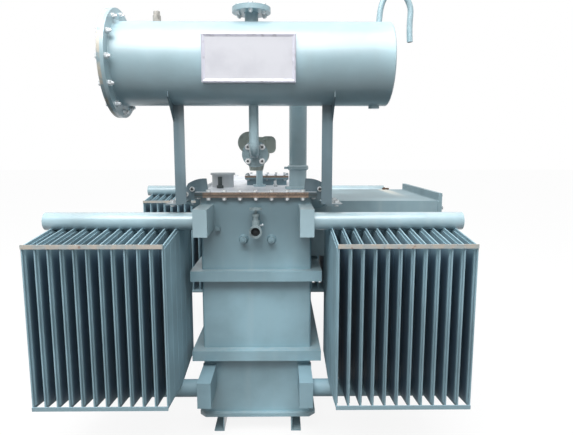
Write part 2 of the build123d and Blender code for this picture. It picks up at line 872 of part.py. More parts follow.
# End frame of the cable box: a plate that stands above the duct, and the blank cover bolted to it
frame_x = half_width + cable_box_reach
frame_size = (cable_box_length, cable_box_height + cable_frame_rise)
with BuildPart() as end_frame:
    with BuildSketch(Plane.YZ.offset(frame_x)):
        with Locations((box_y, box_z + cable_frame_rise / 2)):
            Rectangle(*frame_size)
        with Locations((box_y, box_z)):
            Rectangle(*duct_inside, mode=Mode.SUBTRACT)
    extrude(amount=cable_frame_thickness)
save(end_frame.part, "cable_box_end_frame")

with BuildPart() as cable_cover:
    with BuildSketch(Plane.YZ.offset(frame_x + cable_frame_thickness)):
        with Locations((box_y, box_z + cable_frame_rise / 2)):
            Rectangle(*frame_size)
    extrude(amount=cable_cover_thickness)
save(cable_cover.part, "cable_box_cover")

# Filter valve: stub, body with an open threaded end, bonnet and spindle
z_valve = z_lid_top - valve_below_lid
valve_spindle_y = -half_length - 46
with BuildPart() as valve:
    for start, length, radius in ((0, 28, 17), (26, 40, 23), (64, 16, valve_ring_diameter / 2)):
        with BuildSketch(Plane.XZ.offset(half_length + start)):
            with Locations((valve_x, z_valve)):
                Circle(radius)
        extrude(amount=length)
    for start, length, radius in ((0, 44, 17), (44, 22, 11), (62, 10, 14), (72, 28, 5)):
        with BuildSketch(Plane.XY.offset(z_valve + start)):
            with Locations((valve_x, valve_spindle_y)):
                Circle(radius)
        extrude(amount=length)
    with BuildSketch(Plane.XZ.offset(half_length + 80)):
        with Locations((valve_x, z_valve)):
            Circle(valve_bore / 2)
    extrude(amount=-24, mode=Mode.SUBTRACT)
save(valve.part, "filter_valve")

# Handwheel of the filter valve
with BuildPart() as wheel:
    with Locations((valve_x, valve_spindle_y, z_valve + wheel_above_valve)):
        Cylinder(wheel_diameter / 2, wheel_rim)
        Cylinder(wheel_diameter / 2 - wheel_rim, wheel_rim, mode=Mode.SUBTRACT)
        Box(wheel_diameter - wheel_rim, wheel_rim, wheel_rim / 2)
        Box(wheel_rim, wheel_diameter - wheel_rim, wheel_rim / 2)
        Cylinder(9, wheel_rim)
    with Locations((valve_x, valve_spindle_y, z_valve + wheel_above_valve)):
        Cylinder(5, 4 * wheel_rim, mode=Mode.SUBTRACT)
save(wheel.part, "valve_handwheel")
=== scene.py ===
"""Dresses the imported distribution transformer: paints, bolts and small fittings, and the stage."""

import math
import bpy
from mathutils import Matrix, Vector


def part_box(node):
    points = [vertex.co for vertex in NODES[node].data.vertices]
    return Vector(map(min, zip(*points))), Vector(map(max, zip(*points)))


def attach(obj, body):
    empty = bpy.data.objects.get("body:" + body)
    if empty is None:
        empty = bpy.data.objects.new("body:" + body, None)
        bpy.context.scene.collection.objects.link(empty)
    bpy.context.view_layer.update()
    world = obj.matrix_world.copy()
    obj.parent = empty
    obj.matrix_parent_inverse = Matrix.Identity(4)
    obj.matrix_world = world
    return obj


bl_info = {
    "name": "Distribution Transformer Dressing",
    "version": (1, 0, 0),
    "blender": (4, 5, 0),
    "location": "View3D > Sidebar > Transformer",
    "description": "Paints a distribution transformer and adds its bolts, fittings and stage",
    "category": "Object",
}

import bmesh
import bpy
from mathutils import Matrix, Vector

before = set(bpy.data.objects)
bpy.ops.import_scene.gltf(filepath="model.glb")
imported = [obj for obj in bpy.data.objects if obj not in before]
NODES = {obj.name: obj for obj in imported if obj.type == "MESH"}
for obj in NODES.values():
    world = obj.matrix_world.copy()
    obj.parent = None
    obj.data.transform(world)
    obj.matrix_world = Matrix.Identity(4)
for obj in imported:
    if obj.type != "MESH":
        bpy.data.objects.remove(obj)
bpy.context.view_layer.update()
BODY = "root"

# Places that several pieces share, in metres
LID_LOW, LID_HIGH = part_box("tank_lid")
FLANGE_LOW, FLANGE_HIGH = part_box("tank_flange")
DRUM_LOW, DRUM_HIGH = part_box("conservator_shell")
DRUM_Y = (DRUM_LOW[1] + DRUM_HIGH[1]) / 2
DRUM_TOP = DRUM_HIGH[2]
DRUM_Z = DRUM_TOP - (DRUM_HIGH[1] - DRUM_LOW[1]) / 2
UP = (0.0, 0.0, 1.0)
RIGHT = (1.0, 0.0, 0.0)
WALL_X, WALL_Y = 0.238, 0.645  # outer faces of the tank's side and end walls
HEADER_Y = 0.764  # axis of the radiators' header pipes
HEADER_RADIUS = 0.036
DUCT_WIDTH = 0.056  # width of a header box on the tank's end wall
DRUM_BOLT_CIRCLE = 0.179
FILLER_BOLT_CIRCLE = 0.056
RELAY_BOLT_CIRCLE = 0.041
VENT_BOLT_CIRCLE = 0.049
LUG_X = 0.737  # middle of the lug on the cable box's roof, and of the stain below it


# Shader maths


class Value:
    """A socket's output that can be used in Python arithmetic."""

    def __init__(self, tree, socket):
        self.tree = tree
        self.socket = socket

    def _math(self, operation, *others):
        return self.tree.node("ShaderNodeMath", {"operation": operation}, [self, *others])[0]

    def __add__(self, other):
        return self._math("ADD", other)

    __radd__ = __add__

    def __sub__(self, other):
        return self._math("SUBTRACT", other)

    def __rsub__(self, other):
        return self.tree.node("ShaderNodeMath", {"operation": "SUBTRACT"}, [other, self])[0]

    def __mul__(self, other):
        return self._math("MULTIPLY", other)

    __rmul__ = __mul__

    def __pow__(self, other):
        return self._math("POWER", other)

    def __abs__(self):
        return self._math("ABSOLUTE")

    def clamp(self):
        return self.tree.node("ShaderNodeClamp", {}, [self])[0]


class Shader:
    """One material's node tree."""

    def __init__(self, name):
        self.material = bpy.data.materials.new(name)
        self.material.use_nodes = True
        self.nodes = self.material.node_tree.nodes
        self.links = self.material.node_tree.links
        self.nodes.clear()

    def node(self, kind, settings, inputs):
        """Adds a node, sets it up, feeds its sockets by place or by name and returns its outputs."""
        made = self.nodes.new(kind)
        ramp = settings.pop("stops", None)
        for key, value in settings.items():
            setattr(made, key, value)
        if ramp:
            while len(made.color_ramp.elements) < len(ramp):
                made.color_ramp.elements.new(0.5)
            for element, (place, colour) in zip(made.color_ramp.elements, ramp):
                element.position = place
                element.color = colour
        pairs = inputs.items() if isinstance(inputs, dict) else enumerate(inputs)
        for key, value in pairs:
            if isinstance(value, Value):
                self.links.new(value.socket, made.inputs[key])
            elif value is not None:
                made.inputs[key].default_value = value
        return [Value(self, socket) for socket in made.outputs]

    def mix(self, factor, first, second):
        """Blends two colours."""
        made = self.nodes.new("ShaderNodeMix")
        made.data_type = "RGBA"
        sockets = [socket for socket in made.inputs if socket.enabled]
        for socket, value in zip(sockets, (factor, first, second)):
            if isinstance(value, Value):
                self.links.new(value.socket, socket)
            else:
                socket.default_value = value
        output = [socket for socket in made.outputs if socket.enabled][0]
        return Value(self, output)

    def object_place(self):
        """Object coordinates as a vector, and their x, y and z."""
        place = self.node("ShaderNodeTexCoord", {}, [])[3]
        x, y, z = self.node("ShaderNodeSeparateXYZ", {}, [place])
        return place, x, y, z

    def noise(self, place, scale, detail=3.0, stretch=None):
        """Noise from 0 to 1 at that many cells a metre, stretched along an axis if asked."""
        if stretch:
            place = self.node("ShaderNodeMapping", {}, {"Vector": place, "Scale": stretch})[0]
        return self.node("ShaderNodeTexNoise", {}, {"Vector": place, "Scale": scale, "Detail": detail})[0]

    def band(self, value, low, high):
        """0 below low, 1 above high and smooth between them."""
        settings = {"interpolation_type": "SMOOTHSTEP"}
        inputs = {"Value": value, "From Min": low, "From Max": high}
        return self.node("ShaderNodeMapRange", settings, inputs)[0]

    def finish(self, colour, roughness, normal=None, metallic=0.0, coat=0.0, coat_roughness=0.1):
        """Closes the material with a Principled shader."""
        inputs = {
            "Base Color": colour,
            "Roughness": roughness,
            "Metallic": metallic,
            "Coat Weight": coat,
            "Coat Roughness": coat_roughness,
            "Specular IOR Level": 0.5,
        }
        if normal is not None:
            inputs["Normal"] = normal
        surface = self.node("ShaderNodeBsdfPrincipled", {}, inputs)[0]
        self.node("ShaderNodeOutputMaterial", {}, {"Surface": surface})
        return self.material


def rgb(red, green, blue):
    """A colour socket's value from display values of 0 to 255."""

    def linear(value):
        value /= 255.0
        return value / 12.92 if value <= 0.04045 else ((value + 0.055) / 1.055) ** 2.4

    return (linear(red), linear(green), linear(blue), 1.0)


RUST = rgb(128, 82, 52)
DUST = rgb(186, 190, 188)


def fin_shade(shader):
    """1 deep in the gaps between the fins of every pack, 0 on its outer faces and edges.

    A dark tint there stands in for shade that is deeper than the plain lamps give."""
    _, x, y, z = shader.object_place()
    low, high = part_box("radiator_fins_rear_right")
    x, y = abs(x), abs(y)
    between = shader.band(x, low[0] + 0.006, low[0] + 0.009) * shader.band(high[0] - x, 0.006, 0.009)
    ends = shader.band(y, low[1] + 0.012, low[1] + 0.05) * shader.band(high[1] - y, 0.010, 0.04)
    below_top = shader.band(high[2] - z, 0.006, 0.10)
    return between * ends * below_top * shader.band(z, low[2] + 0.01, low[2] + 0.05)


def wall_shade(shader):
    """1 on the tank's wall under the flange, where the lid and the conservator keep it in shade."""
    _, _, _, z = shader.object_place()
    return shader.band(z, 0.76, 1.0)


def worn_rim(shader):
    """1 on the rim of the conservator's round cover, in patches."""
    place, _, y, z = shader.object_place()
    low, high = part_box("conservator_cover")
    radius = (high[2] - low[2]) / 2
    across, up = y - (low[1] + radius), z - (low[2] + radius)
    reach = (across * across + up * up) ** 0.5
    patches = shader.band(shader.noise(place, 26.0), 0.35, 0.55)
    return shader.band(reach, radius - 0.006, radius - 0.003) * patches


def lug_stain(shader):
    """1 on the pale run-off below the rusty lug on the cable box's roof."""
    place, x, y, z = shader.object_place()
    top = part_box("cable_box")[1][2]
    roof = shader.band(z, top - 0.002, top - 0.001)
    wander = shader.noise(place, 9.0) * 0.03
    run = shader.band(abs(x - LUG_X + wander) * -1.0, -0.045, -0.012)
    return roof * run * shader.band(y, -0.35, 0.15)


def gloss_paint(name, colour, gloss=0.22, dust=0.35, streaks=0.25, rust=0.02, coat=0.35, soft=0.12,
                overlay=None):
    """Glossy enamel over steel: uneven coat, rain streaks, dust on ledges and a few rust specks.

    overlay is a mask's function, its strength and the colour laid on where it is 1."""
    shader = Shader(name)
    place, _, _, _ = shader.object_place()
    broad = shader.noise(place, 3.0, 4.0)
    fine = shader.noise(place, 38.0, 5.0)
    streak = shader.noise(place, 22.0, 4.0, (1.0, 1.0, 0.06))
    speck = shader.noise(place, 160.0, 2.0)
    deep = tuple(channel * 0.80 for channel in colour[:3]) + (1.0,)
    pale = tuple(min(1.0, channel * 1.16) for channel in colour[:3]) + (1.0,)
    tone = shader.mix(shader.band(broad, 0.35, 0.68), deep, pale)
    worn = shader.mix(shader.band(streak, 0.52, 0.75) * streaks, tone, DUST)
    facing_up = shader.node("ShaderNodeSeparateXYZ", {}, [shader.node("ShaderNodeNewGeometry", {}, [])[1]])[2]
    settled = shader.band(facing_up, 0.55, 0.98) * shader.band(fine, 0.25, 0.7) * dust
    dusty = shader.mix(settled, worn, DUST)
    rusty = shader.band(speck * shader.band(fine, 0.3, 0.8), 0.72 - rust, 0.78 - rust)
    finished = shader.mix(rusty, dusty, RUST)
    if overlay:
        where, amount, tint = overlay
        finished = shader.mix(where(shader) * amount, finished, tint)
    roughness = gloss + settled * 0.4 + rusty * 0.5 + shader.band(streak, 0.5, 0.8) * 0.1
    peel = shader.noise(place, 420.0, 2.0) * 0.5 + fine
    normal = shader.node("ShaderNodeBump", {}, {"Strength": 0.08, "Distance": 0.002, "Height": peel})[0]
    return shader.finish(finished, roughness.clamp(), normal, coat=coat, coat_roughness=soft)


def front_corner(shader):
    """1 on the front edge of the lid and flange beyond the outermost bolts, where the edge is coloured dark
    blue-grey.
    """
    _, x, _, _ = shader.object_place()
    _, way, _ = shader.node("ShaderNodeSeparateXYZ", {}, [shader.node("ShaderNodeNewGeometry", {}, [])[1]])
    return shader.band(abs(x), 0.221, 0.226) * shader.band(way * -1.0, 0.5, 0.9)


def lid_paint(name):
    """Pale weathered enamel on top, lightened to near-white as painted glare, worn back to brown primer on
    the cut edges.
    """
    shader = Shader(name)
    place, _, _, _ = shader.object_place()
    broad = shader.noise(place, 5.0, 5.0)
    fine = shader.noise(place, 60.0, 5.0)
    grain = shader.noise(place, 240.0, 3.0)
    facing_up = shader.node("ShaderNodeSeparateXYZ", {}, [shader.node("ShaderNodeNewGeometry", {}, [])[1]])[2]
    # The top faces' near-white is partly painted glare; the darker blotches laid on next are stains.
    top = shader.mix(shader.band(broad, 0.35, 0.65), rgb(194, 200, 208), rgb(222, 226, 232))
    top = shader.mix(shader.band(fine, 0.5, 0.75) * 0.5, top, rgb(118, 120, 124))
    edge = shader.mix(shader.band(grain, 0.4, 0.7), rgb(138, 117, 100), rgb(92, 86, 82))
    edge = shader.mix(front_corner(shader), edge, rgb(70, 84, 88))
    flat = shader.band(facing_up, 0.5, 0.9)
    normal = shader.node("ShaderNodeBump", {}, {"Strength": 0.2, "Distance": 0.001, "Height": fine})[0]
    return shader.finish(shader.mix(flat, edge, top), 0.6 - flat * 0.3 + fine * 0.1, normal)


def tie_paint(name):
    """Thin enamel worn to beige primer, with rust where the bars meet the fins."""
    shader = Shader(name)
    place, _, _, z = shader.object_place()
    patch = shader.noise(place, 30.0, 4.0)
    spot = shader.noise(place, 60.0, 4.0)
    worn = shader.mix(shader.band(patch, 0.4, 0.65), rgb(176, 170, 160), rgb(158, 166, 166))
    high = shader.band(z, 0.5, 0.7)
    base = shader.mix(high, rgb(134, 160, 170), worn)
    colour = shader.mix(shader.band(spot, 0.64, 0.7) * (high * 0.6 + 0.1), base, RUST)
    return shader.finish(colour, 0.5 + patch * 0.2, None)


def primer_edge(name):
    """Brown primer and rust that shows through worn paint on the flange."""
    shader = Shader(name)
    place, _, _, _ = shader.object_place()
    patch = shader.noise(place, 14.0, 5.0)
    grain = shader.noise(place, 240.0, 3.0)
    base = shader.mix(shader.band(patch, 0.42, 0.62), rgb(110, 98, 88), rgb(140, 120, 104))
    colour = shader.mix(shader.band(grain, 0.5, 0.72) * 0.6, base, rgb(70, 72, 72))
    colour = shader.mix(front_corner(shader), colour, rgb(70, 84, 88))
    normal = shader.node("ShaderNodeBump", {}, {"Strength": 0.3, "Distance": 0.001, "Height": grain})[0]
    return shader.finish(colour, 0.62 + grain * 0.2, normal)


def cast_metal(name, colour, metallic=0.0, roughness=0.45, bump=0.35):
    """Painted or bare casting with a sandy skin and darker hollows."""
    shader = Shader(name)
    place, _, _, _ = shader.object_place()
    sand = shader.noise(place, 520.0, 3.0)
    grime = shader.noise(place, 30.0, 5.0)
    dark = tuple(channel * 0.5 for channel in colour[:3]) + (1.0,)
    shade = shader.mix(shader.band(grime, 0.5, 0.78), colour, dark)
    normal = shader.node("ShaderNodeBump", {}, {"Strength": bump, "Distance": 0.0012, "Height": sand})[0]
    return shader.finish(shade, roughness + grime * 0.2, normal, metallic=metallic)


def bright_zinc(name, colour, roughness=0.3):
    """Zinc-plated fasteners with a faint blotchy bloom."""
    shader = Shader(name)
    place, _, _, _ = shader.object_place()
    bloom = shader.noise(place, 90.0, 4.0)
    dull = tuple(channel * 0.55 for channel in colour[:3]) + (1.0,)
    shade = shader.mix(shader.band(bloom, 0.45, 0.72), colour, dull)
    return shader.finish(shade, roughness + bloom * 0.25, None, metallic=0.75)


def plain_rubber(name):
    """Dark oil-resistant gasket sheet."""
    shader = Shader(name)
    place, _, _, _ = shader.object_place()
    grain = shader.noise(place, 300.0, 3.0)
    colour = shader.mix(grain, rgb(34, 30, 28), rgb(58, 50, 44))
    return shader.finish(colour, 0.7 + grain * 0.15, None)


def white_enamel(name):
    """Clean white plate, a little grey in broad patches."""
    shader = Shader(name)
    place, _, _, _ = shader.object_place()
    cloud = shader.noise(place, 12.0, 4.0)
    grain = shader.noise(place, 400.0, 2.0)
    colour = shader.mix(shader.band(cloud, 0.4, 0.7), rgb(196, 197, 203), rgb(186, 187, 194))
    normal = shader.node("ShaderNodeBump", {}, {"Strength": 0.05, "Distance": 0.001, "Height": grain})[0]
    return shader.finish(colour, 0.35 + cloud * 0.1, normal)


def build_finishes():
    """Every finish on the transformer, by the name used in this file."""
    return {
        "tank": gloss_paint("tank enamel", rgb(138, 170, 181), gloss=0.3, dust=0.3, streaks=0.08, rust=0.0,
                            overlay=(wall_shade, 0.7, rgb(84, 106, 114))),
        "post": gloss_paint("support enamel", rgb(98, 119, 128), gloss=0.3, dust=0.3, streaks=0.2, rust=0.0),
        "radiator": gloss_paint("radiator enamel", rgb(132, 161, 172), gloss=0.55, dust=0.0, streaks=0.06,
                                rust=-0.4, coat=0.0, soft=0.35, overlay=(fin_shade, 0.84, rgb(64, 90, 112))),
        "header": gloss_paint("header enamel", rgb(148, 174, 183), gloss=0.34, coat=1.0, soft=0.24, dust=0.4,
                              streaks=0.1, rust=0.0),
        "tie": tie_paint("tie bar primer"),
        "conservator": gloss_paint("conservator enamel", rgb(152, 180, 189), gloss=0.42, dust=0.15,
                                   streaks=0.06, rust=0.0, coat=1.0, soft=0.34),
        "cover": gloss_paint("cover enamel", rgb(136, 160, 168), gloss=0.4, dust=0.2, streaks=0.1, rust=0.0,
                             overlay=(worn_rim, 0.8, rgb(184, 176, 160))),
        # The pipes' enamel is paler than the tank's: painted light against the conservator's shade on them.
        "pipe": gloss_paint("pipe enamel with painted light", rgb(160, 185, 193), gloss=0.26, dust=0.25, streaks=0.15),
        "cable box": gloss_paint("cable box enamel", rgb(128, 151, 159), gloss=0.5, dust=0.1, streaks=0.15,
                                 coat=0.1, soft=0.4, overlay=(lug_stain, 0.7, rgb(206, 204, 192))),
        # The turret's pale enamel is painted glare.
        "turret": gloss_paint("turret enamel with painted glare", rgb(186, 192, 196), gloss=0.4, dust=0.4, streaks=0.2,
                              coat=0.1),
        "lid": lid_paint("lid enamel with painted glare"),
        "border": cast_metal("plate border", rgb(200, 200, 212), metallic=0.3, roughness=0.35, bump=0.1),
        "edge": primer_edge("worn flange edge"),
        "gasket": plain_rubber("gasket sheet"),
        "relay": cast_metal("relay casting", rgb(186, 195, 188)),
        "valve": cast_metal("valve casting", rgb(132, 148, 152), roughness=0.4),
        "thermometer": cast_metal("thermometer brass", rgb(66, 74, 76), roughness=0.5),
        "zinc": bright_zinc("bright zinc", rgb(224, 228, 230), 0.36),
        "dull zinc": bright_zinc("dull zinc", rgb(172, 180, 184), 0.42),
        "white": white_enamel("white enamel"),
        "plug": cast_metal("plug alloy", rgb(168, 164, 158), metallic=0.2, roughness=0.5),
        # Dark discs inside the valve's bore and the breather's mouth, painted shade.
        "dark": cast_metal("painted bore shade", rgb(38, 42, 44), roughness=0.7),
        "rust": cast_metal("rusty lug", rgb(92, 68, 54), roughness=0.75),
    }


FINISHES = {}

NODE_FINISH = {
    "tank": ("tank_walls", "hatch_coaming", "tank_base_plate", "_band", "skid_", "lifting_lugs"),
    "post": ("conservator_support",),
    "radiator": ("radiator_fins", "lower_header_"),
    "header": ("upper_header_",),
    "tie": ("radiator_ties",),
    "conservator": ("conservator_shell", "conservator_end", "conservator_flange",
                    "filler_", "breather_"),
    "pipe": ("relay_pipe", "riser_pipe", "vent_"),
    "turret": ("tap_turret",),
    "cable box": ("cable_box",),
    "lid": ("tank_lid", "hatch_cover"),
    "cover": ("conservator_cover",),
    "edge": ("tank_flange",),
    "gasket": ("lid_gasket",),
    "relay": ("gas_relay",),
    "valve": ("filter_valve", "valve_handwheel"),
    "thermometer": ("thermometer",),
    "plug": ("air_plug",),
    "white": ("nameplate",),
}


def adopt(piece, finish):
    """Gives a finished piece its material, material slot and body."""
    piece.data.materials.clear()
    piece.data.materials.append(FINISHES[finish])
    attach(piece, BODY)
    return piece


def mesh_piece(name, bm, finish):
    """Turns a bmesh in the row frame into a finished piece."""
    bmesh.ops.remove_doubles(bm, verts=bm.verts, dist=1e-6)
    bmesh.ops.recalc_face_normals(bm, faces=bm.faces)
    mesh = bpy.data.meshes.new(name)
    bm.to_mesh(mesh)
    bm.free()
    piece = bpy.data.objects.new(name, mesh)
    bpy.context.scene.collection.objects.link(piece)
    return adopt(piece, finish)


def rod(bm, start, axis, radius, length, sides=16, tip=None):
    """Adds a capped rod, or a cone where the tip's radius differs."""
    turn = Vector(UP).rotation_difference(Vector(axis)).to_matrix().to_4x4()
    middle = Vector(start) + Vector(axis).normalized() * length / 2
    bmesh.ops.create_cone(
        bm, cap_ends=True, segments=sides, radius1=radius, radius2=radius if tip is None else tip,
        depth=length, matrix=Matrix.Translation(middle) @ turn)


def block(bm, low, high):
    """Adds a box between two corners."""
    size = Vector(high) - Vector(low)
    middle = (Vector(high) + Vector(low)) / 2
    bmesh.ops.create_cube(bm, size=1.0, matrix=Matrix.Translation(middle) @ Matrix.Diagonal((*size, 1.0)))


# Weld beads by Geometry Nodes


def new_tree(name, sizes):
    """A geometry tree with named sizes and a finish for inputs, its nodes, its links and its entry."""
    tree = bpy.data.node_groups.new(name, "GeometryNodeTree")
    face = tree.interface
    face.new_socket(name="Geometry", in_out="INPUT", socket_type="NodeSocketGeometry")
    for size in sizes:
        face.new_socket(name=size, in_out="INPUT", socket_type="NodeSocketFloat")
    face.new_socket(name="Finish", in_out="INPUT", socket_type="NodeSocketMaterial")
    face.new_socket(name="Geometry", in_out="OUTPUT", socket_type="NodeSocketGeometry")
    return tree, tree.nodes, tree.links, tree.nodes.new("NodeGroupInput")


def end_tree(tree, entry, shape):
    """Ends a tree: the instances are made real and get the finish."""
    nodes, links = tree.nodes, tree.links
    realize = nodes.new("GeometryNodeRealizeInstances")
    links.new(shape, realize.inputs[0])
    paint = nodes.new("GeometryNodeSetMaterial")
    links.new(realize.outputs[0], paint.inputs["Geometry"])
    links.new(entry.outputs["Finish"], paint.inputs["Material"])
    links.new(paint.outputs[0], nodes.new("NodeGroupOutput").inputs[0])
    return tree


def weld_tree():
    """A tree that lays a rippled bead along every edge chain of the mesh."""
    tree, nodes, links, entry = new_tree("Weld bead", ("Bead Radius", "Ripple Length", "Ripple Height"))
    path = nodes.new("GeometryNodeMeshToCurve")
    links.new(entry.outputs["Geometry"], path.inputs["Mesh"])
    steps = nodes.new("GeometryNodeResampleCurve")
    steps.mode = "LENGTH"
    links.new(path.outputs[0], steps.inputs["Curve"])
    links.new(entry.outputs["Ripple Length"], steps.inputs["Length"])
    ripple = nodes.new("GeometryNodeSetCurveRadius")
    links.new(steps.outputs[0], ripple.inputs["Curve"])
    random = nodes.new("FunctionNodeRandomValue")
    random.data_type = "FLOAT"
    random.inputs["Seed"].default_value = 7
    floats = [socket for socket in random.inputs if socket.enabled and socket.name in ("Min", "Max")]
    floats[0].default_value = 0.8
    links.new(entry.outputs["Ripple Height"], floats[1])
    amount = [socket for socket in random.outputs if socket.enabled][0]
    links.new(amount, ripple.inputs["Radius"])
    profile = nodes.new("GeometryNodeCurvePrimitiveCircle")
    profile.inputs["Resolution"].default_value = 6
    links.new(entry.outputs["Bead Radius"], profile.inputs["Radius"])
    bead = nodes.new("GeometryNodeCurveToMesh")
    links.new(ripple.outputs[0], bead.inputs["Curve"])
    links.new(profile.outputs[0], bead.inputs["Profile Curve"])
    if "Scale" in bead.inputs:
        links.new(amount, bead.inputs["Scale"])
    return end_tree(tree, entry, bead.outputs[0])


def ring_of(centre, axis, radius, count=36):
    """Points round a circle square to an axis."""
    side = Vector(axis).orthogonal().normalized()
    other = Vector(axis).normalized().cross(side)
    turns = [2 * math.pi * number / count for number in range(count)]
    return [Vector(centre) + radius * (math.cos(a) * side + math.sin(a) * other) for a in turns]


def welds(name, loops, finish, bead=3.0):
    """One mesh of beads along closed loops of points."""
    points, edges = [], []
    for loop in loops:
        first = len(points)
        points += [tuple(point) for point in loop]
        edges += [(first + n, first + (n + 1) % len(loop)) for n in range(len(loop))]
    sizes = {"Bead Radius": bead / 1000, "Ripple Length": 0.007, "Ripple Height": 1.15}
    return grow(name, "Weld bead", weld_tree, points, edges, sizes, finish)


# Bolts by Geometry Nodes


def bolt_tree():
    """A tree that puts a hexagon bolt, washer, shank and nut on each point, head along its axis attribute."""
    tree, nodes, links, entry = new_tree("Bolt set", (
        "Head Radius", "Head Height", "Washer Radius", "Washer Height", "Grip", "Shank Radius", "Tail"))

    def maths(operation, first, second):
        made = nodes.new("ShaderNodeMath")
        made.operation = operation
        for socket, value in zip(made.inputs, (first, second)):
            if isinstance(value, (int, float)):
                socket.default_value = value
            else:
                links.new(value, socket)
        return made.outputs[0]

    def disc(sides, radius, height, level):
        """A cylinder of that many sides whose middle is at that level on the bolt's axis."""
        cylinder = nodes.new("GeometryNodeMeshCylinder")
        cylinder.inputs["Vertices"].default_value = sides
        links.new(radius, cylinder.inputs["Radius"])
        links.new(height, cylinder.inputs["Depth"])
        lift = nodes.new("ShaderNodeCombineXYZ")
        links.new(level, lift.inputs["Z"])
        moved = nodes.new("GeometryNodeTransform")
        links.new(cylinder.outputs["Mesh"], moved.inputs["Geometry"])
        links.new(lift.outputs[0], moved.inputs["Translation"])
        return moved.outputs[0]

    head_radius = entry.outputs["Head Radius"]
    head_height = entry.outputs["Head Height"]
    washer_height = entry.outputs["Washer Height"]
    grip = entry.outputs["Grip"]
    tail = entry.outputs["Tail"]
    half_washer = maths("MULTIPLY", washer_height, 0.5)
    half_head = maths("MULTIPLY", head_height, 0.5)
    below = maths("MULTIPLY", grip, -1.0)
    head_top = maths("ADD", head_height, washer_height)
    shank_length = maths("ADD", maths("ADD", grip, tail), head_top)
    shank_level = maths("SUBTRACT", head_top, maths("MULTIPLY", shank_length, 0.5))
    join = nodes.new("GeometryNodeJoinGeometry")
    pieces = [
        disc(6, head_radius, head_height, maths("ADD", washer_height, half_head)),
        disc(16, entry.outputs["Washer Radius"], washer_height, half_washer),
        disc(16, entry.outputs["Washer Radius"], washer_height, maths("SUBTRACT", below, half_washer)),
        disc(6, head_radius, head_height,
             maths("SUBTRACT", below, maths("ADD", washer_height, half_head))),
        disc(12, entry.outputs["Shank Radius"], shank_length, shank_level),
    ]
    for piece in pieces:
        links.new(piece, join.inputs[0])
    axis = nodes.new("GeometryNodeInputNamedAttribute")
    axis.data_type = "FLOAT_VECTOR"
    axis.inputs["Name"].default_value = "axis"
    align = nodes.new("FunctionNodeAlignRotationToVector")
    align.axis = "Z"
    links.new(axis.outputs["Attribute"], align.inputs["Vector"])
    place = nodes.new("GeometryNodeInstanceOnPoints")
    links.new(entry.outputs["Geometry"], place.inputs["Points"])
    links.new(join.outputs[0], place.inputs["Instance"])
    links.new(align.outputs[0], place.inputs["Rotation"])
    return end_tree(tree, entry, place.outputs[0])


def grow(name, tree_name, maker, points, edges, values, finish, axes=None):
    """Runs a tree on a carrier mesh and keeps the result as a plain mesh. Values are in metres."""
    mesh = bpy.data.meshes.new(f"{name}_points")
    mesh.from_pydata(points, edges, [])
    if axes:
        axis = mesh.attributes.new("axis", "FLOAT_VECTOR", "POINT")
        for number, direction in enumerate(axes):
            axis.data[number].vector = direction
    carrier = bpy.data.objects.new(f"{name}_carrier", mesh)
    bpy.context.scene.collection.objects.link(carrier)
    modifier = carrier.modifiers.new("Grown", "NODES")
    tree = bpy.data.node_groups.get(tree_name) or maker()
    modifier.node_group = tree
    for item in tree.interface.items_tree:
        if item.in_out == "INPUT" and item.name in values:
            modifier[item.identifier] = values[item.name]
        elif item.in_out == "INPUT" and item.name == "Finish":
            modifier[item.identifier] = FINISHES[finish]
    bpy.context.view_layer.update()
    graph = bpy.context.evaluated_depsgraph_get()
    made = bpy.data.meshes.new_from_object(carrier.evaluated_get(graph))
    bpy.data.objects.remove(carrier)
    made.name = name
    piece = bpy.data.objects.new(name, made)
    bpy.context.scene.collection.objects.link(piece)
    return adopt(piece, finish)


def bolt_set(name, points, sizes, finish):
    """One mesh of bolts. points lists (place, axis); sizes names the tree's inputs in millimetres."""
    values = {"Head Radius": 10, "Head Height": 8, "Washer Radius": 12, "Washer Height": 2.5,
              "Grip": 20, "Shank Radius": 6, "Tail": 14}
    values.update(sizes)
    values = {key: size / 1000.0 for key, size in values.items()}
    places = [tuple(place) for place, _ in points]
    axes = [direction for _, direction in points]
    return grow(name, "Bolt set", bolt_tree, places, [], values, finish, axes)


def spread(start, end, count):
    """Evenly spaced numbers, both ends included."""
    return [start + (end - start) * number / (count - 1) for number in range(count)]


class TransformerSizes(bpy.types.PropertyGroup):
    """Sizes that a user would change."""

    lid_bolt_head: bpy.props.FloatProperty(
        name="Lid Bolt Head", description="Across-corner radius of a lid bolt's head", default=0.0105,
        unit="LENGTH", min=0.004, max=0.03)
    drum_bolt_tail: bpy.props.FloatProperty(
        name="Drum Bolt Tail", description="Thread that shows past the nuts on the conservator's flange",
        default=0.018, unit="LENGTH", min=0.0, max=0.06)
    key_light: bpy.props.FloatProperty(
        name="Key Light", description="Power of the overhead soft light", default=140.0, min=0.0, max=500.0)
    floor_colour: bpy.props.FloatVectorProperty(
        name="Floor Colour", description="Colour of the floor and backdrop", subtype="COLOR",
        default=(1.0, 1.0, 1.0), min=0.0, max=1.0)


class TRANSFORMER_OT_finishes(bpy.types.Operator):
    """Paint every CAD node with its own finish"""

    bl_idname = "transformer.finishes"
    bl_label = "Paint the Transformer"

    def execute(self, context):
        FINISHES.update(build_finishes())
        for name, node in NODES.items():
            for finish, keys in NODE_FINISH.items():
                if any(key in name for key in keys):
                    node.data.materials.clear()
                    node.data.materials.append(FINISHES[finish])
        return {"FINISHED"}


